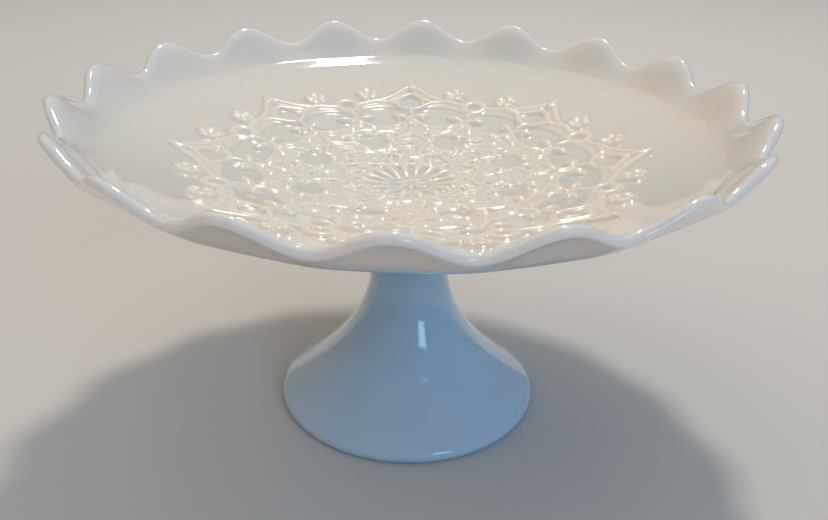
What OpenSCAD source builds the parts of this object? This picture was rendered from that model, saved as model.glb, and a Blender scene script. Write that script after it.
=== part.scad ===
// Footed cake stand in pressed opal glass.
// A shallow scalloped plate with a raised lace medallion is fused, by a small wafer of glass,
// to a hollow bell-shaped foot. Millimetres, +Z up, origin at the centre of the resting ring.

/* [Stand] */
// Overall height, from the table to the lobe tips
stand_h = 144; // [120:1:170]
// Number of flat steps round each turned or scalloped surface (a multiple of 72 keeps lobes and lace even)
turn_steps = 144; // [72:72:216]

/* [Plate rim] */
// Radius to the outermost lobe tip
plate_r = 142; // [132:1:155]
// Number of lobes round the rim
lobe_count = 18; // [12:2:24]
// How far a hollow between lobes lies inside the lobe tips
lobe_inset = 5.5; // [2:0.5:8]
// How far a hollow between lobes lies below the lobe tips
lobe_drop = 9; // [4:0.5:11]
// Radius of the fire-polished edge
edge_r = 2; // [1.5:0.1:2.5]
// Slope of the glass at a lobe tip, in degrees
tip_slope = 33; // [25:1:45]
// Slope of the glass in a hollow between lobes, in degrees
hollow_slope = 40; // [30:1:50]

/* [Plate floor] */
// Radius of the shoulder, where the floor turns up into the rim
shoulder_r = 123; // [115:1:126]
// Depth of the shoulder below the lobe tips
shoulder_drop = 19; // [16:0.5:22]
// Slope of the rim where it leaves the shoulder, in degrees
shoulder_slope = 33; // [28:1:45]
// Depth of the floor's centre below the shoulder
floor_dish = 23; // [15:0.5:24]
// Thickness of the plate's glass
plate_glass = 4.6; // [3.5:0.1:6]
// Radius of the thick pad under the plate's centre
pad_r = 22; // [18:1:30]
// Depth of that pad below the floor's underside
pad_drop = 1.6; // [1:0.1:3]

/* [Lace medallion] */
// Number of points on the lace medallion
lace_points = 8; // [6:2:12]
// Turn of the medallion against the lobes, in degrees
lace_turn = 2.5; // [0:2.5:20]
// Radius to the medallion's points
lace_tip_r = 99; // [90:1:102]
// Radius between the medallion's points
lace_waist_r = 82; // [78:1:88]
// Height of the medallion above the floor
lace_rise = 0.8; // [0.4:0.1:1.2]
// Width of the medallion's sloping edge
lace_bevel = 1.2; // [0.8:0.1:2]

/* [Wafer] */
// Radius of the wafer's bulging rim
wafer_r = 21; // [19:0.5:24]
// Thickness of the wafer
wafer_h = 4; // [3:0.5:5]

/* [Foot] */
// Largest radius of the foot
foot_r = 58.3; // [50:0.1:65]
// Radius of the foot's rounded lip
foot_lip_r = 3.4; // [2.5:0.1:4]
// Slope of the foot where it leaves the lip, in degrees
foot_slope = 37; // [30:1:45]
// Radius of the neck, the foot's narrowest place
neck_r = 16.6; // [14:0.2:19]
// Height of the neck
neck_z = 70; // [60:1:76]
// Radius of the foot's top, under the wafer
crown_r = 19.5; // [17:0.5:22]
// Thickness of the foot's glass near the lip
foot_glass = 4.8; // [4:0.1:6]
// Extra thickness that the glass gains on its way up to the neck
neck_glass_extra = 2.4; // [1:0.1:4]
// Height at which the hollow inside the foot starts to close
hollow_h = 50; // [40:1:56]

/* [Hidden] */

$fn = 96;
opal = [0.93, 0.92, 0.90];
opal_cool = [0.86, 0.89, 0.93];

// Ring fractions: where the plate's rings lie on the floor, and along the rim and its edge
floor_steps = [0.25, 0.48, 0.62];
outer_floor_steps = [0.85, 0.94];
rim_steps = [0, 0.2, 0.4, 0.6, 0.8, 1];
edge_turns = [50, 18, -18, -50];

// Length of a curve's handles, as a share of the distance it spans
handle_share = 0.35;
// Power that makes the floor a shallow bowl
floor_power = 2.1;

shoulder_z = stand_h - shoulder_drop;
floor_z = shoulder_z - floor_dish;
pad_z = floor_z - plate_glass / 2 - pad_drop;
foot_h = pad_z - wafer_h;

// Points and directions in the [radius, height] plane
function heading(slope) = [cos(slope), sin(slope)];
function left_normal(direction) = [-direction[1], direction[0]] / norm(direction);
function cubic(p0, p1, p2, p3, t) =
    pow(1 - t, 3) * p0 + 3 * pow(1 - t, 2) * t * p1 + 3 * (1 - t) * t * t * p2 + pow(t, 3) * p3;
function cubic_heading(p0, p1, p2, p3, t) =
    pow(1 - t, 2) * (p1 - p0) + 2 * (1 - t) * t * (p2 - p1) + t * t * (p3 - p2);

// Share of a lobe tip at an angle: 1 on a tip, 0 in a hollow, with one tip on +Y
function tip_share(angle) = (1 + cos(lobe_count * (angle - 90))) / 2;
function edge_centre(angle) = [
    plate_r - edge_r - lobe_inset * (1 - tip_share(angle)),
    stand_h - edge_r - lobe_drop * (1 - tip_share(angle))
];
function edge_slope(angle) = hollow_slope + (tip_slope - hollow_slope) * tip_share(angle);

// The four control points of the rim's middle line at an angle, from the shoulder to the edge
function rim_reach(angle) = handle_share * norm(edge_centre(angle) - [shoulder_r, shoulder_z]);
function rim_line(angle) = [
    [shoulder_r, shoulder_z],
    [shoulder_r, shoulder_z] + rim_reach(angle) * heading(shoulder_slope),
    edge_centre(angle) - rim_reach(angle) * heading(edge_slope(angle)),
    edge_centre(angle)
];
function half_glass(t) = plate_glass / 2 + (edge_r - plate_glass / 2) * t;
function rim_point(angle, t, side) =
    let (line = rim_line(angle))
    cubic(line[0], line[1], line[2], line[3], t)
        + side * half_glass(t) * left_normal(cubic_heading(line[0], line[1], line[2], line[3], t));
function edge_point(angle, turn) =
    edge_centre(angle) + edge_r * heading(edge_slope(angle) + turn);

// The floor's middle line is a shallow bowl
function floor_height(r) = floor_z + floor_dish * pow(r / shoulder_r, floor_power);
function floor_point(r, side, rise = 0) = [r, floor_height(r) + side * plate_glass / 2 + rise];

// Outline of the lace medallion: slender points between wide hollows
lace_taper = 3.2;
function lace_share(angle) =
    let (sector = 360 / lace_points)
    let (turned = (angle - 90 - lace_turn) / sector)
    2 * abs(turned - round(turned));
function lace_r(angle) = lace_waist_r + (lace_tip_r - lace_waist_r) * pow(1 - lace_share(angle), lace_taper);

// One slice through the plate, from the middle of its top round the edge to the pad beneath
function plate_slice(angle) = concat(
    [for (f = floor_steps) floor_point(f * shoulder_r, 1, lace_rise)],
    [floor_point(lace_r(angle) - lace_bevel, 1, lace_rise)],
    [floor_point(lace_r(angle), 1)],
    [for (f = outer_floor_steps) floor_point(f * shoulder_r, 1)],
    [for (t = rim_steps) rim_point(angle, t, 1)],
    [for (turn = edge_turns) edge_point(angle, turn)],
    [for (i = [len(rim_steps) - 1:-1:0]) rim_point(angle, rim_steps[i], -1)],
    [floor_point(0.9 * shoulder_r, -1)],
    [floor_point(0.68 * shoulder_r, -1)],
    [floor_point(0.42 * shoulder_r, -1)],
    [floor_point(pad_r + 2, -1)],
    [[pad_r, pad_z]]
);

function on_turn(point, angle) = [point[0] * cos(angle), point[0] * sin(angle), point[1]];

module plate() {
    slices = [for (i = [0:turn_steps - 1]) plate_slice(i * 360 / turn_steps)];
    rings = len(slices[0]);
    top_pole = turn_steps * rings;
    bottom_pole = top_pole + 1;
    points = concat(
        [for (i = [0:turn_steps - 1]) for (p = slices[i]) on_turn(p, i * 360 / turn_steps)],
        [[0, 0, floor_z + plate_glass / 2 + lace_rise], [0, 0, pad_z]]
    );
    top_fan = [for (i = [0:turn_steps - 1])
        [top_pole, ((i + 1) % turn_steps) * rings, i * rings]];
    bottom_fan = [for (i = [0:turn_steps - 1])
        [bottom_pole, i * rings + rings - 1, ((i + 1) % turn_steps) * rings + rings - 1]];
    skin = [for (i = [0:turn_steps - 1], j = [0:rings - 2])
        let (here = i * rings + j, next = ((i + 1) % turn_steps) * rings + j)
        each [[here, next, next + 1], [here, next + 1, here + 1]]];
    color(opal)
        polyhedron(points = points, faces = concat(top_fan, skin, bottom_fan), convexity = 6);
}

// A disc with a full round rim
module wafer() {
    color(opal)
        translate([0, 0, foot_h])
            rotate_extrude()
                union() {
                    square([wafer_r - wafer_h / 2, wafer_h]);
                    translate([wafer_r - wafer_h / 2, wafer_h / 2])
                        circle(d = wafer_h);
                }
}

// The foot's outer line: a round lip, a long hollow sweep to the neck, then a flare to the crown
lip_centre = [foot_r - foot_lip_r, foot_lip_r];
lip_turn = 180 - foot_slope;
lip_steps = 8;
lip = [for (i = [0:lip_steps - 1]) lip_centre + foot_lip_r * heading(-90 + lip_turn * i / lip_steps)];

sweep_start = lip_centre + foot_lip_r * heading(90 - foot_slope);
sweep_low_handle = 23;
sweep_high_handle = 30.5;
sweep = [
    sweep_start,
    sweep_start + sweep_low_handle * heading(180 - foot_slope),
    [neck_r, neck_z - sweep_high_handle],
    [neck_r, neck_z]
];
sweep_steps = 20;
outer_sweep = [for (i = [0:sweep_steps]) cubic(sweep[0], sweep[1], sweep[2], sweep[3], i / sweep_steps)];

crown_handle = 12;
crown = [
    [neck_r, neck_z],
    [neck_r, neck_z + crown_handle],
    [crown_r, foot_h - crown_handle / 2],
    [crown_r, foot_h]
];
crown_steps = 6;
crown_line = [for (i = [1:crown_steps]) cubic(crown[0], crown[1], crown[2], crown[3], i / crown_steps)];

// The hollow follows the sweep one glass thickness in, and ends in a round top below the neck
function inner_sweep_point(t) =
    cubic(sweep[0], sweep[1], sweep[2], sweep[3], t)
        + (foot_glass + neck_glass_extra * t)
        * left_normal(cubic_heading(sweep[0], sweep[1], sweep[2], sweep[3], t));
inner_sweep = [for (i = [1:sweep_steps])
    let (p = inner_sweep_point(i / sweep_steps))
    if (p[1] > foot_lip_r && p[1] < hollow_h) p];
dome = inner_sweep[len(inner_sweep) - 1];
mouth_r = foot_r - 2 * foot_lip_r;

module foot_hollow() {
    rotate_extrude()
        polygon(concat(
            [[0, -1], [mouth_r, -1], [mouth_r, foot_lip_r / 2]],
            inner_sweep,
            [for (turn = [18:18:90]) [dome[0] * cos(turn), dome[1] + dome[0] * sin(turn)]]
        ));
}

module foot() {
    color(opal_cool)
        difference() {
            rotate_extrude()
                polygon(concat([[0, 0]], lip, outer_sweep, crown_line, [[0, foot_h]]));
            foot_hollow();
        }
}

plate();
wafer();
foot();
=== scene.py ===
"""The cake stand's looks: an opal glass plate with a lace medallion, its wafer and its foot.

Lengths in the shape functions are millimetres, and mesh_object() turns them into metres.
A section point is [radius, height], and a turn is an angle about the stand's axis.
"""

import math

import bpy
import numpy as np
from mathutils import Matrix, Vector


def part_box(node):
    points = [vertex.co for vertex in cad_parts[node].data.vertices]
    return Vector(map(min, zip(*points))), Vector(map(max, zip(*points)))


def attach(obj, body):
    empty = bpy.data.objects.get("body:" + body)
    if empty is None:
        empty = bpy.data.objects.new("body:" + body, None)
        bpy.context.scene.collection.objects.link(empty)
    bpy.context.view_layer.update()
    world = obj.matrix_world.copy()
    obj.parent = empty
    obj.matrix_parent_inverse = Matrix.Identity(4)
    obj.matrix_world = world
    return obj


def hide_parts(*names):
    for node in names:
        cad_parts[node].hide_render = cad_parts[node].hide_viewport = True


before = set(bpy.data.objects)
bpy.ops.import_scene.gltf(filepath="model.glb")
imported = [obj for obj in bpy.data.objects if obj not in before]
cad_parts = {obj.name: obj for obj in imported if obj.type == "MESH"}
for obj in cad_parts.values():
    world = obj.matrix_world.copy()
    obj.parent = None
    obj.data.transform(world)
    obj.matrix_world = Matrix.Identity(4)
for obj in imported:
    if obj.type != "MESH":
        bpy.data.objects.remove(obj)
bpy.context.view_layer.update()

MM = 0.001

# ---------------------------------------------------------------- sizes, from the frame
plate_low, plate_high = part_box("plate")
wafer_low, wafer_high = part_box("wafer")
foot_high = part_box("foot")[1]

PLATE_R = plate_high.y / MM
STAND_H = plate_high.z / MM
PAD_Z = plate_low.z / MM
WAFER_R = wafer_high.x / MM
WAFER_LOW_Z = wafer_low.z / MM
WAFER_HIGH_Z = wafer_high.z / MM
FOOT_R = foot_high.x / MM
FOOT_H = foot_high.z / MM

# The plate's section, as the CAD part has it
LOBES = 18
LOBE_INSET = 5.5
LOBE_DROP = 9.0
EDGE_R = 2.0
TIP_SLOPE = math.radians(33)
HOLLOW_SLOPE = math.radians(40)
SHOULDER_R = 123.0
SHOULDER_Z = STAND_H - 19.0
SHOULDER_SLOPE = math.radians(33)
HANDLE_SHARE = 0.35
FLOOR_DISH = 23.0
FLOOR_POWER = 2.1
FLOOR_Z = SHOULDER_Z - FLOOR_DISH
GLASS = 4.6
PAD_R = 22.0

# How the shoulder is rounded: inside by a faint crease, a gentle ledge and a bend, outside by one bend.
# An end is a share of the way from the shoulder to the rim's edge.
CREASE_R = 117.8
LEDGE_SLOPE = math.radians(26.3)
LEDGE_REACH = 7.5
LEDGE_END = 0.25
BEND_REACH = 3.0
OUTER_BEND_R = 117.5
OUTER_BEND_END = 0.30


# ---------------------------------------------------------------- plane curves
def cubic(p0, p1, p2, p3, t):
    """Bezier point at t; the points may be arrays of points."""
    return (1 - t) ** 3 * p0 + 3 * (1 - t) ** 2 * t * p1 + 3 * (1 - t) * t**2 * p2 + t**3 * p3


def cubic_heading(p0, p1, p2, p3, t):
    """The way that a Bezier curve runs at t, not of unit length."""
    return (1 - t) ** 2 * (p1 - p0) + 2 * (1 - t) * t * (p2 - p1) + t**2 * (p3 - p2)


def heading(slope):
    """Unit vector along a slope, in the section's plane."""
    return np.stack([np.cos(slope), np.sin(slope)], -1)


def left_normal(direction):
    """Unit vector to the left of a direction."""
    turned = np.stack([-direction[..., 1], direction[..., 0]], -1)
    return turned / np.linalg.norm(turned, axis=-1, keepdims=True)


# ---------------------------------------------------------------- the rim
def tip_share(turn):
    """1 on a lobe's tip and 0 in the hollow between two lobes. A tip lies on +Y."""
    return (1 + np.cos(LOBES * (turn - math.pi / 2))) / 2


def edge_centre(turn):
    """The middle of the rounded edge, which draws in and falls between the lobes."""
    away = 1 - tip_share(turn)
    return np.stack([PLATE_R - EDGE_R - LOBE_INSET * away, STAND_H - EDGE_R - LOBE_DROP * away], -1)


def edge_slope(turn):
    """Slope of the glass where it reaches the edge."""
    return HOLLOW_SLOPE + (TIP_SLOPE - HOLLOW_SLOPE) * tip_share(turn)


def rim_line(turn):
    """The rim's middle line at each turn: four Bezier points from the shoulder to the edge."""
    start = np.broadcast_to(np.array([SHOULDER_R, SHOULDER_Z]), turn.shape + (2,))
    end = edge_centre(turn)
    reach = HANDLE_SHARE * np.linalg.norm(end - start, axis=-1, keepdims=True)
    first = start + reach * heading(np.full(turn.shape, SHOULDER_SLOPE))
    second = end - reach * heading(edge_slope(turn))
    return start, first, second, end


def rim_section(turn, t, side):
    """Points at t along the rim, on its inner side (1) or its outer side (-1)."""
    line = rim_line(turn)
    half = GLASS / 2 + (EDGE_R - GLASS / 2) * t
    return cubic(*line, t) + side * half * left_normal(cubic_heading(*line, t))


def inner_shoulder_section(turn, share):
    """Points on the shoulder's inner side, from the crease (share 0) to the rim (share 1)."""
    first = floor_section(turn, CREASE_R, 1)
    last = rim_section(turn, LEDGE_END, 1)
    ahead = rim_section(turn, LEDGE_END + 0.01, 1) - last
    ahead = ahead / np.linalg.norm(ahead, axis=-1, keepdims=True)
    ledge = first + LEDGE_REACH * heading(np.full(turn.shape, LEDGE_SLOPE))
    return cubic(first, ledge, last - BEND_REACH * ahead, last, share)


def outer_shoulder_section(turn, share):
    """Points on the shoulder's outer side, from the floor (share 0) to the rim (share 1)."""
    first = floor_section(turn, OUTER_BEND_R, -1)
    corner = rim_section(turn, 0, -1)
    last = rim_section(turn, OUTER_BEND_END, -1)
    return (1 - share) ** 2 * first + 2 * share * (1 - share) * corner + share**2 * last


def edge_section(turn, angle):
    """Points on the rounded edge; angle runs from +90 degrees on top to -90 degrees beneath."""
    return edge_centre(turn) + EDGE_R * heading(edge_slope(turn) + angle)


# ---------------------------------------------------------------- the floor
def floor_mid(r):
    """Height of the floor's middle line, a shallow bowl."""
    return FLOOR_Z + FLOOR_DISH * (r / SHOULDER_R) ** FLOOR_POWER


def floor_section(turn, r, side):
    """Points on the floor's top, lace and all (side 1), or on its underside (-1)."""
    height = floor_mid(r) + side * GLASS / 2
    if side > 0 and r <= LACE_R:
        height = height + lace_height(r, turn)
    return np.stack([np.full(turn.shape, float(r)), np.broadcast_to(height, turn.shape)], -1)


# ---------------------------------------------------------------- ridges and openings
# Heights are above the plate's floor. A motif is placed on a folded plane whose +y runs outwards
# along an axis of the lace, so that it gets its mirror image and repeats in every sector.
RIDGE_SPREAD = 1.28
RIDGE_POWER = 1.15
PETAL_CLIMB = 2.2
PETAL_ROOT = 0.4


def soft_step(depth, width):
    """0 outside and 1 inside, going over smoothly in a bevel of this width."""
    share = np.clip(depth / width + 0.5, 0, 1)
    return share * share * (3 - 2 * share)


def ridge(distance, half_width, rise):
    """A soft ridge, from the distance to its middle line. It reaches a little past its half width."""
    return rise * np.clip(1 - (distance / (RIDGE_SPREAD * half_width)) ** 2, 0, None) ** RIDGE_POWER


def along_line(x, y, start, end):
    """How far along a line the nearest point on it is, from 0 to 1, and the distance to it."""
    (ax, ay), (bx, by) = start, end
    dx, dy = bx - ax, by - ay
    along = np.clip(((x - ax) * dx + (y - ay) * dy) / (dx**2 + dy**2), 0, 1)
    return along, np.hypot(x - ax - along * dx, y - ay - along * dy)


def stroke(x, y, start, end, start_width, end_width, rise):
    """A straight ridge with round ends whose half width changes along it."""
    along, distance = along_line(x, y, start, end)
    return ridge(distance, start_width + (end_width - start_width) * along, rise)


def chain(x, y, points, half_width, rise):
    """Ridges joined end to end along a line of points."""
    height = np.zeros(np.shape(x))
    for start, end in zip(points[:-1], points[1:]):
        height = np.maximum(height, stroke(x, y, start, end, half_width, half_width, rise))
    return height


def leaf(x, y, start, end, half_width, rise):
    """A pointed ridge, widest and highest in the middle."""
    (ax, ay), (bx, by) = start, end
    dx, dy = bx - ax, by - ay
    length = math.hypot(dx, dy)
    along = ((x - ax) * dx + (y - ay) * dy) / length**2
    across = np.abs((x - ax) * dy - (y - ay) * dx) / length
    plump = np.sqrt(np.clip(4 * along * (1 - along), 0, None))
    return plump * ridge(across, np.maximum(half_width * plump, 1e-6), rise)


def petal(x, y, start, end, half_width, rise):
    """A ridge that climbs, ever more gently, from nothing at its start to its full rise at its round end."""
    along, distance = along_line(x, y, start, end)
    widening = PETAL_ROOT + (1 - PETAL_ROOT) * along
    return (1 - (1 - along) ** PETAL_CLIMB) * ridge(distance, half_width * widening, rise)


def bead(x, y, centre, radius, rise):
    """A round bump."""
    return ridge(np.hypot(x - centre[0], y - centre[1]), radius, rise)


def hoop(x, y, centre, radius, half_width, rise):
    """A round ring."""
    return ridge(np.hypot(x - centre[0], y - centre[1]) - radius, half_width, rise)


def oval(x, y, centre, half_x, half_y, bevel, power=2.0):
    """1 inside an oval and 0 outside it. A power near 1 makes a diamond of it."""
    across = np.abs((x - centre[0]) / half_x) ** power
    outwards = np.abs((y - centre[1]) / half_y) ** power
    reach = (across + outwards) ** (1 / power)
    return soft_step((1 - reach) * min(half_x, half_y), bevel)


def soft_union(heights, softness=0.2):
    """The upper envelope of heights, rounded where two of them meet."""
    total = np.zeros(np.shape(heights[0]))
    for height in heights:
        total = total + np.expm1(height / softness)
    return softness * np.log1p(total)


# ---------------------------------------------------------------- the lace
SECTORS = 8
SECTOR = 2 * math.pi / SECTORS
LACE_TURN = math.radians(2.5)
LACE_R = 101.0
LACE_WAIST_R = 82.0
LACE_TIP_R = 99.0
LACE_TAPER = 3.2
GROUND = 0.8
GROUND_BEVEL = 1.2
BUTTON_R = 90.0
BUTTON_TURN = math.radians(14.0)
BUTTON_SIZE = 5.4
BUTTON_RISE = 1.8
BUTTON_BEVEL = 3.0
BUTTON_PETALS = 5
SCALLOP_SHARE = 0.05
DIMPLE_SIZE = 1.7
DIMPLE_SHARE = 0.55
GROOVE_START = 1.6
GROOVE_SHARE = 0.4
ROSETTE_R = 19.5
ROSETTE_BEVEL = 1.6
ROSETTE_SINK = 1.2
ROSETTE_POWER = 1.3


def windows(x, y, u, v, p, q):
    """Shares of the openings in the lace, where the smooth floor shows."""
    yield oval(p, q, (0, 71.0), 11.8, 7.2, 1.7)
    yield oval(p, q, (0, 65.0), 10.0, 3.5, 1.7)
    yield oval(x, y, (0, 81.6), 5.3, 6.8, 1.8, 1.25)
    yield oval(x, y, (0, 91.2), 1.5, 2.1, 1.6)
    yield oval(x, y, (0, 59.2), 1.7, 1.7, 1.6)
    yield oval(u, v, (0, 80.9), 3.3, 3.3, 1.8)
    yield oval(u, v, (0, 44.9), 6.8, 6.4, 2.0)
    yield oval(u, v, (4.4, 50.7), 1.6, 1.4, 1.6)
    yield oval(u, v, (12.4, 48.9), 1.3, 1.8, 1.6)
    yield oval(x, y, (0, 42.0), 1.7, 0.9, 1.2)
    yield oval(x, y, (0, 36.2), 3.3, 0.8, 1.2)
    yield oval(x, y, (5.2, 32.3), 0.9, 1.4, 1.2)
    yield oval(x, y, (8.4, 34.6), 1.2, 1.0, 1.2)
    yield oval(x, y, (11.4, 32.6), 1.1, 0.9, 1.2)
    yield oval(u, v, (0, 26.2), 4.0, 3.9, 1.6)
    yield oval(x, y, (0, 22.6), 1.2, 1.0, 1.2)


def point_motifs(x, y):
    """Along a point's axis: the ogee frame, its cross, the lantern and the rosette's petals."""
    ogee = [(0, 98.2), (4.6, 92.4), (8.4, 88.0), (12.6, 84.6), (17.6, 81.9), (25.3, 77.2)]
    yield stroke(x, y, (0, 99.6), (0, 94.6), 0.72, 2.28, 2.08)
    yield chain(x, y, ogee, 1.8, 1.6)
    yield chain(x, y, [(0, 89.7), (3.6, 87.2), (7.6, 83.4), (10.4, 81.3)], 1.44, 1.52)
    yield chain(x, y, [(10.4, 81.3), (7.2, 79.0), (4.6, 76.6), (0, 74.4)], 1.5, 1.68)
    yield stroke(x, y, (10.4, 81.5), (17.6, 81.8), 2.28, 1.8, 1.52)
    yield stroke(x, y, (0, 75.4), (0, 69.6), 2.28, 0.96, 1.92)
    yield leaf(x, y, (1.0, 67.2), (9.2, 69.8), 2.28, 2)
    yield leaf(x, y, (4.4, 68.4), (6.8, 65.2), 1.2, 1.28)
    yield stroke(x, y, (0, 66.3), (0, 62.0), 1.08, 2.52, 1.52)
    yield leaf(x, y, (2.9, 60.8), (9.2, 56.4), 1.92, 1.68)
    yield stroke(x, y, (0, 57.2), (0, 53.4), 1.32, 2.28, 1.52)
    yield chain(x, y, [(0.4, 51.2), (4.6, 48.3), (8.8, 43.9)], 1.44, 1.44)
    yield chain(x, y, [(8.8, 43.9), (6.3, 40.0), (4.7, 35.4), (3.6, 30.8)], 0.9, 1.12)
    yield chain(x, y, [(0, 46.6), (3.4, 45.2), (5.9, 42.6)], 0.78, 1.04)
    yield chain(x, y, [(0, 43.6), (2.6, 42.4), (5.7, 39.2)], 0.84, 1.04)
    yield chain(x, y, [(0, 38.4), (2.8, 37.7), (4.7, 35.6)], 1.08, 1.2)
    yield stroke(x, y, (0, 34.3), (0, 32.0), 2.88, 3.6, 1.2)
    yield chain(x, y, [(0, 25.7), (2.6, 26.4), (5.0, 27.3), (6.4, 27.5)], 1.14, 1.44)
    yield bead(x, y, (5.0, 27.2), 1.65, 1.6)
    yield chain(x, y, [(0, 24.4), (2.4, 23.0), (5.2, 20.8)], 0.72, 1.04)
    yield petal(x, y, (1.56, 7.85), (3.51, 17.65), 2.1, 1.8)
    yield bead(x, y, (0, 18.6), 1.3, 1.2)
    yield leaf(x, y, (0, 1.2), (0, 7.2), 1.2, 1.2)


def between_motifs(u, v):
    """Along the axis between two points: the ring, its cross, the beads round the window and the fan."""
    yield hoop(u, v, (0, 80.9), 4.7, 2.1, 1.55)
    yield stroke(u, v, (0, 75.8), (0, 70.4), 2.52, 1.2, 1.76)
    yield leaf(u, v, (1.2, 67.8), (10.0, 69.0), 2.28, 2)
    yield stroke(u, v, (0, 66.2), (0, 62.6), 0.96, 1.8, 1.44)
    yield leaf(u, v, (2.0, 64.6), (6.4, 56.2), 2.4, 1.76)
    yield bead(u, v, (0, 53.3), 2.53, 1.84)
    yield leaf(u, v, (9.9, 52.6), (8.0, 46.4), 2.64, 1.84)
    yield bead(u, v, (5.9, 39.0), 1.87, 1.6)
    yield chain(u, v, [(0, 57.6), (3.6, 56.8), (6.6, 54.4), (12.6, 53.2)], 0.96, 1.12)
    yield chain(u, v, [(0, 35.6), (3.4, 34.6), (6.6, 34.9), (9.4, 36.8)], 0.96, 1.12)
    yield chain(u, v, [(4.6, 27.7), (3.9, 29.2), (2.2, 30.3), (0, 30.7)], 1.32, 1.6)
    yield stroke(u, v, (0, 22.8), (0, 28.6), 0.36, 0.9, 0.96)
    yield stroke(u, v, (0, 22.8), (2.0, 27.8), 0.36, 0.84, 0.96)
    yield stroke(u, v, (0, 22.8), (3.3, 26.0), 0.36, 0.72, 0.96)
    yield bead(u, v, (0, 22.2), 1.43, 1.44)
    yield bead(u, v, (0, 18.6), 1.3, 1.2)


def button(s, t):
    """A low dome with a dimple in its middle and shallow grooves that part it into petals."""
    reach, turn = np.hypot(s, t), np.arctan2(s, t)
    scallops = np.cos(BUTTON_PETALS * turn)
    dome = soft_step(BUTTON_SIZE * (1 + SCALLOP_SHARE * scallops) - reach, BUTTON_BEVEL)
    groove = (0.5 - 0.5 * scallops) ** 6 * soft_step(reach - GROOVE_START, GROOVE_START)
    dimple = np.exp(-((reach / DIMPLE_SIZE) ** 2))
    return BUTTON_RISE * dome * (1 - DIMPLE_SHARE * dimple) * (1 - GROOVE_SHARE * groove)


def rosette_sink(r):
    """How far the floor dips under the rosette."""
    return ROSETTE_SINK * np.clip(1 - (r / ROSETTE_R) ** 2, 0, None) ** ROSETTE_POWER


def lace_outline(from_point):
    """Radius of the lace's ground: slender points between wide hollows."""
    return LACE_WAIST_R + (LACE_TIP_R - LACE_WAIST_R) * (1 - from_point / (SECTOR / 2)) ** LACE_TAPER


def lace_height(r, turn):
    """Height of the lace above the floor at a radius and an array of turns."""
    from_point = np.abs((turn - math.pi / 2 - LACE_TURN + SECTOR / 2) % SECTOR - SECTOR / 2)
    from_between = SECTOR / 2 - from_point
    from_window = from_point - SECTOR / 4
    from_button = from_point - BUTTON_TURN
    x, y = r * np.sin(from_point), r * np.cos(from_point)
    u, v = r * np.sin(from_between), r * np.cos(from_between)
    p, q = r * np.sin(from_window), r * np.cos(from_window)
    s, t = r * np.sin(from_button), r * np.cos(from_button) - BUTTON_R

    ground = GROUND * soft_step(lace_outline(from_point) - r, GROUND_BEVEL)
    ground = ground * soft_step(r - ROSETTE_R, ROSETTE_BEVEL)
    for share in windows(x, y, u, v, p, q):
        ground = ground * (1 - share)
    raised = soft_union([ground, *point_motifs(x, y), *between_motifs(u, v), button(s, t)])
    return raised - rosette_sink(r)


# ---------------------------------------------------------------- meshes
def add_to_scene(name, data):
    """A new object in the scene."""
    added = bpy.data.objects.new(name, data)
    bpy.context.scene.collection.objects.link(added)
    return added


def turns(count):
    """A full turn in equal steps."""
    return np.arange(count) * 2 * math.pi / count


def on_turn(section, turn):
    """A ring in space, from section points and their turns."""
    return np.stack([section[:, 0] * np.cos(turn), section[:, 0] * np.sin(turn), section[:, 1]], -1)


def round_ring(count, point):
    """A plain ring through one section point."""
    return on_turn(np.tile(point, (count, 1)), turns(count))


def as_faces(*corners):
    """Faces from one array of vertex numbers for each corner."""
    return [tuple(face) for face in np.stack(corners, -1).tolist()]


def band(low, low_count, high, high_count):
    """Faces between two rings whose first vertices are low and high; a count may halve or double."""
    if low_count > high_count:
        return [tuple(reversed(face)) for face in band(high, high_count, low, low_count)]
    i = np.arange(low_count)
    j = (i + 1) % low_count
    if low_count == high_count:
        return as_faces(low + i, high + i, high + j, low + j)
    a, b, c = high + 2 * i, high + 2 * i + 1, high + (2 * i + 2) % high_count
    return [*as_faces(low + i, a, b), *as_faces(low + i, b, low + j), *as_faces(low + j, b, c)]


def lofted(name, rings, first_pole, last_pole):
    """A closed mesh through rings of points, from a pole at one end to a pole at the other."""
    counts = [len(ring) for ring in rings]
    starts = (1 + np.cumsum([0, *counts[:-1]])).tolist()
    last = 1 + sum(counts)
    faces = [(0, starts[0] + i, starts[0] + (i + 1) % counts[0]) for i in range(counts[0])]
    for k in range(len(rings) - 1):
        faces += band(starts[k], counts[k], starts[k + 1], counts[k + 1])
    faces += [(last, starts[-1] + (i + 1) % counts[-1], starts[-1] + i) for i in range(counts[-1])]
    points = np.concatenate([np.array([first_pole]), *rings, np.array([last_pole])])
    return mesh_object(name, points, faces)


def mesh_object(name, points, faces):
    """A smooth-shaded object in the scene, from points in millimetres."""
    mesh = bpy.data.meshes.new(name)
    mesh.from_pydata((points * MM).tolist(), [], faces)
    mesh.update()
    mesh.polygons.foreach_set("use_smooth", np.ones(len(mesh.polygons), bool))
    return add_to_scene(name, mesh)


# ---------------------------------------------------------------- the plate
# Points on its wide rings, on top and beneath
RIM_COUNT = 576
UNDER_COUNT = 288

# How its rings are spaced, from the lace out over the edge and back beneath
LACE_STEP = 0.5
PLAIN_STEPS = 5
LEDGE_STEPS = 14
LEDGE_CROWDING = 1.3
INNER_RIM_STEPS = 12
EDGE_ANGLES = (68, 45, 22, 0, -22, -45, -68)
OUTER_RIM_STEPS = 11
OUTER_BEND_STEPS = 8
UNDER_STEPS = 21


def lace_count(r):
    """Points on a ring of the lace, doubling where they would get too far apart."""
    for limit, count in ((7, 144), (18, 288), (44, 576)):
        if r <= limit:
            return count
    return 1152


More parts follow.
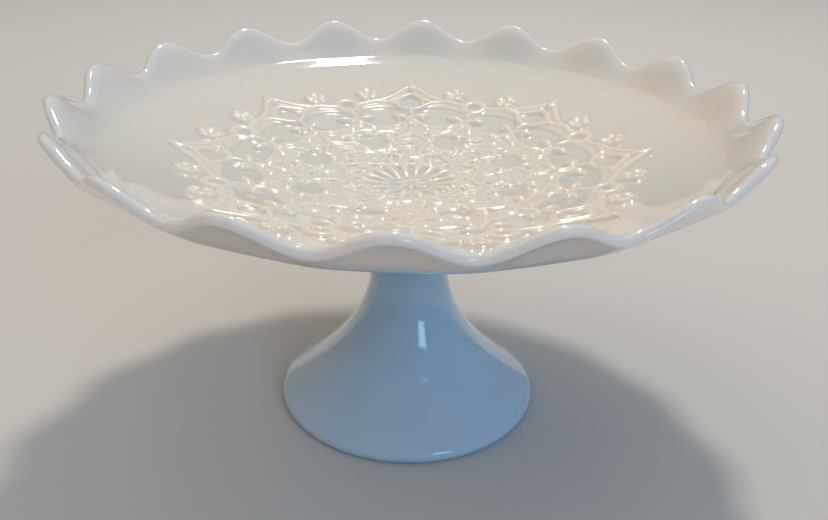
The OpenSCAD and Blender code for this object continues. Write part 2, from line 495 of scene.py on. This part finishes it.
def plate_rings():
    """The plate's rings, from the middle of its top round the edge to the pad beneath."""
    for r in np.arange(LACE_STEP, LACE_R + 0.01, LACE_STEP):
        turn = turns(lace_count(r))
        yield on_turn(floor_section(turn, r, 1), turn)
    turn = turns(RIM_COUNT)
    for r in (*np.linspace(LACE_R + 2.5, CREASE_R - 1.2, PLAIN_STEPS + 1), CREASE_R - 0.3, CREASE_R):
        yield on_turn(floor_section(turn, r, 1), turn)
    for share in np.linspace(0, 1, LEDGE_STEPS + 1)[1:-1] ** LEDGE_CROWDING:
        yield on_turn(inner_shoulder_section(turn, share), turn)
    for t in np.linspace(LEDGE_END, 1, INNER_RIM_STEPS + 1):
        yield on_turn(rim_section(turn, t, 1), turn)
    for angle in np.radians(EDGE_ANGLES):
        yield on_turn(edge_section(turn, angle), turn)
    for t in np.linspace(1, OUTER_BEND_END, OUTER_RIM_STEPS + 1):
        yield on_turn(rim_section(turn, t, -1), turn)
    for share in np.linspace(1, 0, OUTER_BEND_STEPS + 1)[1:-1]:
        yield on_turn(outer_shoulder_section(turn, share), turn)
    turn = turns(UNDER_COUNT)
    for r in np.linspace(OUTER_BEND_R, PAD_R + 3, UNDER_STEPS + 1):
        yield on_turn(floor_section(turn, r, -1), turn)
    pad_root = floor_mid(PAD_R) - GLASS / 2
    for point in ((PAD_R + 1.2, pad_root - 0.5), (PAD_R + 0.3, PAD_Z + 0.3), (PAD_R - 0.4, PAD_Z)):
        yield round_ring(UNDER_COUNT, point)


def make_plate():
    """A shallow lobed plate with the lace on its top."""
    centre_z = FLOOR_Z + GLASS / 2 - ROSETTE_SINK
    return lofted("plate_glass", list(plate_rings()), (0, 0, centre_z), (0, 0, PAD_Z))


# ---------------------------------------------------------------- the wafer and the foot
TURNED_COUNT = 288
ROUND_STEPS = 14
CROWN_STEPS = 16
SWEEP_STEPS = 60
LIP_STEPS = 18
DOME_STEP = 9

# The foot's section, as the CAD part has it
FOOT_LIP_R = 3.4
FOOT_SLOPE = math.radians(37)
FOOT_GLASS = 4.8
NECK_GLASS_EXTRA = 2.4
HOLLOW_H = 50.0
DOME_CAP = 0.2
SWEEP_LOW_HANDLE = 23.0
SWEEP_HIGH_HANDLE = 30.5
CROWN_HANDLE = 12.0
LIP_CENTRE = np.array([FOOT_R - FOOT_LIP_R, FOOT_LIP_R])
NECK = np.array([16.6, 70.0])
CROWN_TOP = np.array([19.5, FOOT_H])


def make_wafer():
    """A disc with a full round rim."""
    half = (WAFER_HIGH_Z - WAFER_LOW_Z) / 2
    middle = np.array([WAFER_R - half, WAFER_LOW_Z + half])
    angles = np.linspace(math.pi / 2, -math.pi / 2, ROUND_STEPS + 1)
    rings = [round_ring(TURNED_COUNT, middle + half * heading(angle)) for angle in angles]
    return lofted("wafer_glass", rings, (0, 0, WAFER_HIGH_Z), (0, 0, WAFER_LOW_Z))


def foot_sweep():
    """Bezier points of the long hollow sweep, from the lip to the neck."""
    start = LIP_CENTRE + FOOT_LIP_R * heading(math.pi / 2 - FOOT_SLOPE)
    low_handle = start + SWEEP_LOW_HANDLE * heading(math.pi - FOOT_SLOPE)
    return [start, low_handle, NECK - [0, SWEEP_HIGH_HANDLE], NECK]


def foot_crown():
    """Bezier points of the flare above the neck."""
    return [NECK, NECK + [0, CROWN_HANDLE], CROWN_TOP - [0, CROWN_HANDLE / 2], CROWN_TOP]


def foot_outside():
    """Section points from the crown's top down the sweep, round the lip and up into the mouth."""
    crown, sweep = foot_crown(), foot_sweep()
    section = [cubic(*crown, t) for t in np.linspace(1, 0, CROWN_STEPS + 1)]
    section += [cubic(*sweep, t) for t in np.linspace(1, 0, SWEEP_STEPS + 1)[1:]]
    lip_angles = np.linspace(math.pi / 2 - FOOT_SLOPE, -math.pi / 2, LIP_STEPS + 1)[1:]
    section += [LIP_CENTRE + FOOT_LIP_R * heading(angle) for angle in lip_angles]
    mouth = FOOT_R - 2 * FOOT_LIP_R
    return section + [np.array([mouth + 0.8, 0]), np.array([mouth + 0.2, 0.3]), np.array([mouth, 1.0])]


def foot_inside():
    """Section points up the hollow, one glass thickness in from the sweep, and over its round top."""
    sweep = foot_sweep()
    section = []
    for t in np.linspace(0, 1, SWEEP_STEPS + 1):
        thickness = FOOT_GLASS + NECK_GLASS_EXTRA * t
        inner = cubic(*sweep, t) + thickness * left_normal(cubic_heading(*sweep, t))
        if FOOT_LIP_R < inner[1] < HOLLOW_H:
            section.append(inner)
    r, z = section[-1]
    dome_angles = np.radians(range(DOME_STEP, 90, DOME_STEP))
    return section + [np.array([r * math.cos(a), z + r * math.sin(a)]) for a in dome_angles]


def make_foot():
    """A turned bell with a rounded lip, hollow from below."""
    rings = [round_ring(TURNED_COUNT, point) for point in foot_outside() + foot_inside()]
    hollow_top = rings[-1][0][2] + DOME_CAP
    return lofted("foot_glass", rings, (0, 0, FOOT_H), (0, 0, hollow_top))


# ---------------------------------------------------------------- marks for the materials
FULL_RELIEF = 2.6
EDGE_REACH = 3.0
THIN_REACH = 16.0


def mark(piece, name, values):
    """Stores one number per vertex for the piece's material to read."""
    layer = piece.data.attributes.new(name, "FLOAT", "POINT")
    layer.data.foreach_set("value", np.asarray(values, np.float32))


def vertex_sections(piece):
    """Radius, height and turn of each vertex, in millimetres and radians."""
    flat = np.empty(len(piece.data.vertices) * 3)
    piece.data.vertices.foreach_get("co", flat)
    points = flat.reshape(-1, 3) / MM
    return np.hypot(points[:, 0], points[:, 1]), points[:, 2], np.arctan2(points[:, 1], points[:, 0])


def mark_plate(piece):
    """Marks how high the lace stands and how near the rim's edge is."""
    r, z, turn = vertex_sections(piece)
    edge = edge_centre(turn)
    from_edge = np.hypot(r - edge[:, 0], z - edge[:, 1]) - EDGE_R
    on_lace = (r < LACE_R) & (z > floor_mid(r))
    relief = z - floor_mid(r) - GLASS / 2 + rosette_sink(r)
    # Besides setting the lace's gloss, the relief mark places the lace's painted warm-cream light.
    mark(piece, "relief", np.where(on_lace, relief / FULL_RELIEF, 0))
    # The edge mark places the painted light along the rounded edge.
    mark(piece, "edge", np.clip(1 - from_edge / EDGE_REACH, 0, 1))
    # The thin mark deepens the light's way into the glass near the rim and places the painted shade there.
    mark(piece, "thin", np.clip(1 - from_edge / THIN_REACH, 0, 1))


# ---------------------------------------------------------------- materials
class Shading:
    """Adds nodes to a material and links them to its Principled shader."""

    def __init__(self, name):
        self.material = bpy.data.materials.new(name)
        self.material.use_nodes = True
        self.nodes = self.material.node_tree.nodes
        self.links = self.material.node_tree.links
        self.shader = self.nodes["Principled BSDF"]
        self.place = self.nodes.new("ShaderNodeTexCoord").outputs["Object"]

    def constant(self, socket, value):
        self.shader.inputs[socket].default_value = value

    def varied(self, socket, value):
        self.links.new(value, self.shader.inputs[socket])

    def noise(self, scale, detail=2.0):
        node = self.nodes.new("ShaderNodeTexNoise")
        node.inputs["Scale"].default_value = scale
        node.inputs["Detail"].default_value = detail
        self.links.new(self.place, node.inputs["Vector"])
        return node.outputs["Fac"]

    def marked(self, name):
        node = self.nodes.new("ShaderNodeAttribute")
        node.attribute_name = name
        return node.outputs["Fac"]

    def height(self):
        node = self.nodes.new("ShaderNodeSeparateXYZ")
        self.links.new(self.place, node.inputs["Vector"])
        return node.outputs["Z"]

    def remap(self, value, low, high, to_low=0.0, to_high=1.0):
        node = self.nodes.new("ShaderNodeMapRange")
        node.inputs["From Min"].default_value = low
        node.inputs["From Max"].default_value = high
        node.inputs["To Min"].default_value = to_low
        node.inputs["To Max"].default_value = to_high
        self.links.new(value, node.inputs["Value"])
        return node.outputs["Result"]

    def mix(self, share, first, second):
        """Mixes two colours, each a tuple or another node's output."""
        node = self.nodes.new("ShaderNodeMix")
        node.data_type = "RGBA"
        colours = [socket for socket in node.inputs if socket.type == "RGBA"]
        for value, socket in zip((first, second), colours):
            if isinstance(value, tuple):
                socket.default_value = (*value, 1)
            else:
                self.links.new(value, socket)
        self.links.new(share, node.inputs["Factor"])
        return [socket for socket in node.outputs if socket.type == "RGBA"][0]

    def bump(self, height, distance_mm):
        node = self.nodes.new("ShaderNodeBump")
        node.inputs["Distance"].default_value = distance_mm * MM
        self.links.new(height, node.inputs["Height"])
        self.varied("Normal", node.outputs["Normal"])


def opal_glass(name, milk, cloud, glow, depth_mm, skin=0.03):
    """Opal glass: light enters its milky body a little way, under a clear fire-polished skin.

    Gives the shading and the cloudy colour of the glass's body.
    """
    glass = Shading(name)
    glass.constant("IOR", 1.52)
    glass.constant("Specular IOR Level", 0.4)
    glass.constant("Coat Weight", 1.0)
    glass.constant("Coat Roughness", skin)
    glass.constant("Subsurface Weight", glow)
    glass.constant("Subsurface Radius", (1.0, 0.72, 0.50))
    glass.constant("Subsurface Scale", depth_mm * MM)
    glass.bump(glass.noise(scale=22.0, detail=1.0), distance_mm=0.25)
    clouds = glass.remap(glass.noise(scale=9.0, detail=3.0), 0.38, 0.62)
    return glass, glass.mix(clouds, milk, cloud)


def handled_gloss(glass):
    """A gloss that differs a little from place to place, as on glass that is often wiped."""
    glass.varied("Roughness", glass.remap(glass.noise(scale=28.0), 0.3, 0.7, 0.03, 0.08))


def plate_material():
    """Warm white glass; painted shade greys it towards its thin rim, painted light keeps its rounded edge a
    little paler, and the pressed lace gets a painted warm-cream light and a duller gloss.
    """
    glass, body = opal_glass(
        "plate_opal", milk=(0.795, 0.755, 0.69), cloud=(0.755, 0.75, 0.695), glow=0.9, depth_mm=5
    )
    thin, edge, relief = glass.marked("thin"), glass.marked("edge"), glass.marked("relief")
    # Painted shade: greyer towards the thin rim, for shade seen through the thin glass.
    body = glass.mix(glass.remap(thin, 0.0, 0.8), body, (0.69, 0.68, 0.665))
    # Painted light: the rounded edge is kept a little paler than the greyed rim beside it, for the light it
    # catches.
    body = glass.mix(edge, body, (0.74, 0.73, 0.72))
    # Painted light: the raised lace is tinted a warm cream for the lamp light it catches.
    body = glass.mix(glass.remap(relief, 0.1, 0.6), body, (0.80, 0.75, 0.665))
    glass.varied("Base Color", body)
    glass.varied("Roughness", glass.remap(relief, 0.1, 0.4, 0.05, 0.22))
    glass.varied("Coat Weight", glass.remap(relief, 0.05, 0.3, 1.0, 0.18))
    glass.varied("Subsurface Scale", glass.remap(thin, 0.0, 0.7, 3.5 * MM, 10 * MM))
    return glass.material


def wafer_material():
    """Neutral white glass."""
    glass, body = opal_glass(
        "wafer_opal", milk=(0.70, 0.71, 0.72), cloud=(0.66, 0.68, 0.70), glow=0.6, depth_mm=4
    )
    glass.varied("Base Color", body)
    handled_gloss(glass)
    return glass.material


def foot_material():
    """White glass painted a cool blue-white for the daylight that lights it, darkening upwards as painted
    shade under the plate.
    """
    # Painted light: the blue milk and cloud lay the cool daylight's colour into white glass.
    glass, body = opal_glass(
        "foot_opal", milk=(0.52, 0.655, 0.775), cloud=(0.50, 0.64, 0.765), glow=0.6, depth_mm=4, skin=0.09
    )
    # Painted shade: the glass darkens upwards towards the neck, which the plate shades.
    neck_shade = glass.remap(glass.height(), 0.0, 80 * MM)
    glass.varied("Base Color", glass.mix(neck_shade, body, (0.34, 0.535, 0.70)))
    handled_gloss(glass)
    return glass.material


# ---------------------------------------------------------------- stage
FLOOR_HALF = 8.0
FLOOR_COLOUR = (0.60, 0.585, 0.57, 1)
FLOOR_ROUGHNESS = 0.9

# Colour and position on the world's ramp, from left to right
ROOM_LEFT = ((1.0, 0.86, 0.74, 1), 0.1)
ROOM_RIGHT = ((0.74, 0.86, 1.0, 1), 0.75)
ROOM_STRENGTH = 0.29

# The camera stands in front, a little above the plate, and looks down on it
CAMERA_DISTANCE = 351.8 * MM
CAMERA_HEIGHT = 239.0 * MM
CAMERA_ORBIT = math.radians(2.02)
CAMERA_SWING = math.radians(-0.375)
CAMERA_PITCH = math.radians(90 - 28.01)
CAMERA_ROLL = math.radians(1.2)
CAMERA_LENS = 38.53
CAMERA_SENSOR = 36.0
CAMERA_SHIFT = 0.0382


def make_floor():
    """A plain pale floor."""
    corners = [(x * FLOOR_HALF, y * FLOOR_HALF, 0) for x, y in ((-1, -1), (1, -1), (1, 1), (-1, 1))]
    mesh = bpy.data.meshes.new("floor")
    mesh.from_pydata(corners, [], [(0, 1, 2, 3)])
    material = bpy.data.materials.new("floor")
    material.use_nodes = True
    shader = material.node_tree.nodes["Principled BSDF"]
    shader.inputs["Base Color"].default_value = FLOOR_COLOUR
    shader.inputs["Roughness"].default_value = FLOOR_ROUGHNESS
    mesh.materials.append(material)
    add_to_scene("floor", mesh)


def area_light(name, place, target, size, power, colour):
    """A rectangular lamp that shines from a place towards a target; the glass mirrors it."""
    light = bpy.data.lights.new(name, "AREA")
    light.shape = "RECTANGLE"
    light.size, light.size_y = size
    light.energy = power
    light.color = colour
    lamp = add_to_scene(name, light)
    lamp.location = place
    lamp.rotation_euler = (Vector(target) - Vector(place)).to_track_quat("-Z", "Y").to_euler()


def sun_light(name, direction, spread, strength, colour):
    """Even light from everywhere within a wide cone; nothing mirrors it."""
    light = bpy.data.lights.new(name, "SUN")
    light.angle = spread
    light.energy = strength
    light.color = colour
    sun = add_to_scene(name, light)
    sun.rotation_euler = Vector(direction).to_track_quat("-Z", "Y").to_euler()
    sun.visible_glossy = False


def make_lights():
    """A warm lamp behind and above, a cool window in front, and soft light of both kinds all round."""
    area_light(
        "ceiling_lamp", place=(0.139, 0.80, 1.57), target=(0, 0, 0.12), size=(0.18, 0.18),
        power=13, colour=(1.0, 0.90, 0.76),
    )
    sun_light(
        "room", direction=(0.3, -0.2, -1.0), spread=math.radians(90),
        strength=0.78, colour=(1.0, 0.91, 0.78),
    )
    area_light(
        "window", place=(0.55, -0.91, 0.43), target=(0, 0, 0.08), size=(0.26, 0.34),
        power=1.3, colour=(0.45, 0.74, 1.0),
    )
    sun_light(
        "daylight", direction=(-1.0, 1.3, -0.92), spread=math.radians(30),
        strength=0.56, colour=(0.36, 0.64, 1.0),
    )


def make_world():
    """A dim room that is warmer on the left than on the right."""
    world = bpy.data.worlds.new("room")
    world.use_nodes = True
    nodes, links = world.node_tree.nodes, world.node_tree.links
    place = nodes.new("ShaderNodeTexCoord")
    split = nodes.new("ShaderNodeSeparateXYZ")
    across = nodes.new("ShaderNodeMapRange")
    ramp = nodes.new("ShaderNodeValToRGB")
    across.inputs["From Min"].default_value = -1.0
    for element, (colour, position) in zip(ramp.color_ramp.elements, (ROOM_LEFT, ROOM_RIGHT)):
        element.position = position
        element.color = colour
    links.new(place.outputs["Generated"], split.inputs["Vector"])
    links.new(split.outputs["X"], across.inputs["Value"])
    links.new(across.outputs["Result"], ramp.inputs["Fac"])
    links.new(ramp.outputs["Color"], nodes["Background"].inputs["Color"])
    nodes["Background"].inputs["Strength"].default_value = ROOM_STRENGTH
    bpy.context.scene.world = world


def make_camera():
    """Places the camera and makes it the scene's."""
    camera = bpy.data.cameras.new("camera")
    camera.sensor_width = CAMERA_SENSOR
    camera.lens = CAMERA_LENS
    camera.shift_y = CAMERA_SHIFT
    camera.clip_start = 10 * MM
    eye = add_to_scene("camera", camera)
    eye.location = (
        CAMERA_DISTANCE * math.sin(CAMERA_ORBIT),
        -CAMERA_DISTANCE * math.cos(CAMERA_ORBIT),
        CAMERA_HEIGHT,
    )
    turn = Matrix.Rotation(CAMERA_ORBIT + CAMERA_SWING, 3, "Z")
    pitch = Matrix.Rotation(CAMERA_PITCH, 3, "X")
    roll = Matrix.Rotation(CAMERA_ROLL, 3, "Z")
    eye.rotation_euler = (turn @ pitch @ roll).to_euler()
    bpy.context.scene.camera = eye


# ---------------------------------------------------------------- the scene
make_camera()

plate = make_plate()
wafer = make_wafer()
foot = make_foot()

mark_plate(plate)
plate.data.materials.append(plate_material())
wafer.data.materials.append(wafer_material())
foot.data.materials.append(foot_material())

for piece, node, slot in (
    (plate, "plate", "opal_plate"),
    (wafer, "wafer", "opal_wafer"),
    (foot, "foot", "opal_foot"),
):
    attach(piece, "root")
    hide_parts(node)

make_floor()
make_lights()
make_world()
bpy.context.scene.view_settings.view_transform = "Standard"
